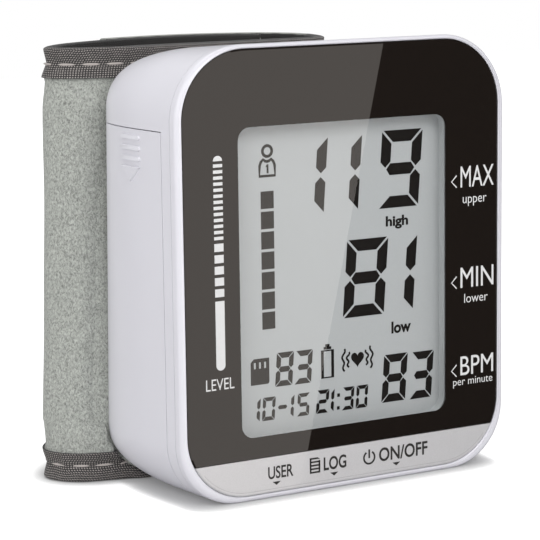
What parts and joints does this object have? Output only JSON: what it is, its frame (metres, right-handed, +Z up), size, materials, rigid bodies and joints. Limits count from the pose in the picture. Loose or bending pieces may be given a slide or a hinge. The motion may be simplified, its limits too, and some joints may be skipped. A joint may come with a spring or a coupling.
{
  "type": "wrist blood pressure monitor",
  "caption": "Upright wrist blood pressure monitor with a large display on a rounded white case and a padded fabric cuff closed in a loop behind it.",
  "frame": {"origin": "on the floor under the middle of the overall box, part standing on its lower edge", "axes": "+X to the right as the display is read, +Y from the display towards the cuff, +Z up"},
  "size_m": [0.0678, 0.0536, 0.0717],
  "materials": {
    "white_plastic": "smooth satin gloss",
    "lens": "polished, black mask round a clear window",
    "silver_strip": "silver print behind a polished face",
    "display": "matt grey liquid crystal",
    "dark_plastic": "fine matt",
    "clear_plastic": "frosted",
    "board": "solder mask",
    "metal": "brushed",
    "cell_can": "gloss sleeve",
    "winding": "enamelled copper",
    "silicone": "soft",
    "diaphragm": "soft",
    "fleece": "brushed loop pile",
    "cloth": "woven",
    "hook_tape": "hook tape"
  },
  "bodies": {
    "monitor": {"front_case": "white_plastic", "main_case": "white_plastic", "pump_cap": "white_plastic", "valve_cap": "white_plastic", "air_manifold": "white_plastic", "cuff_nipple": "white_plastic", "display_lens": "lens", "key_strip": "silver_strip", "display_glass": "display", "case_screw_1": "metal", "case_screw_2": "metal", "case_screw_3": "metal", "case_screw_4": "metal", "display_frame": "dark_plastic", "display_connector": "dark_plastic", "controller_chip": "dark_plastic", "buzzer": "dark_plastic", "pressure_sensor": "dark_plastic", "key_switch_1": "dark_plastic", "key_switch_2": "dark_plastic", "key_switch_3": "dark_plastic", "battery_tray": "dark_plastic", "pump_body": "dark_plastic", "cuff_plate": "dark_plastic", "cuff_stiffener": "clear_plastic", "circuit_board": "board", "battery_cell_1": "cell_can", "battery_cell_2": "cell_can", "contact_link": "metal", "contact_positive": "metal", "contact_negative": "metal", "battery_spring_1": "metal", "battery_spring_2": "metal", "pump_motor": "metal", "valve_frame": "metal", "pump_diaphragm": "diaphragm", "pump_lead": "cloth", "valve_coil": "winding", "pump_tube": "silicone", "valve_tube": "silicone", "sensor_tube": "silicone", "cuff_bladder": "silicone", "cuff_fleece": "fleece", "cuff_lining": "cloth", "cuff_binding_top": "cloth", "cuff_binding_bottom": "cloth"},
    "key_1": {"key_cap_1": "white_plastic", "key_plunger_1": "clear_plastic"},
    "key_2": {"key_cap_2": "white_plastic", "key_plunger_2": "clear_plastic"},
    "key_3": {"key_cap_3": "white_plastic", "key_plunger_3": "clear_plastic"},
    "door": {"battery_door": "white_plastic"},
    "rotor": {"pump_rotor": "metal"},
    "valve_needle": {"valve_plunger": "metal"},
    "cuff_tail": {"tail_fleece": "fleece", "tail_lining": "cloth", "tail_binding": "cloth", "hook_patch": "hook_tape"}
  },
  "joints": [
    {"name": "key_1_press", "type": "slide", "parent": "monitor", "child": "key_1", "axis": [0, 0, 1], "range_m": [0, 0.0006], "stiffness_N_per_m": 300, "springref_m": -0.0006},
    {"name": "key_2_press", "type": "slide", "parent": "monitor", "child": "key_2", "axis": [0, 0, 1], "range_m": [0, 0.0006], "stiffness_N_per_m": 300, "springref_m": -0.0006},
    {"name": "key_3_press", "type": "slide", "parent": "monitor", "child": "key_3", "axis": [0, 0, 1], "range_m": [0, 0.0006], "stiffness_N_per_m": 300, "springref_m": -0.0006},
    {"name": "door_slide", "type": "slide", "parent": "monitor", "child": "door", "axis": [0, 0, -1], "range_m": [0, 0.062]},
    {"name": "rotor_spin", "type": "hinge", "parent": "monitor", "child": "rotor", "pos_m": [0.00558, -0.00952, 0.028], "axis": [0, 0, 1], "continuous": true},
    {"name": "valve_pull", "type": "slide", "parent": "monitor", "child": "valve_needle", "axis": [0, 0, -1], "range_m": [0, 0.001], "stiffness_N_per_m": 200, "springref_m": -0.001},
    {"name": "cuff_open", "type": "hinge", "parent": "monitor", "child": "cuff_tail", "pos_m": [0.01918, 0.01053, 0.035], "axis": [0, 0, -1], "range_deg": [0, 100]}
  ]
}
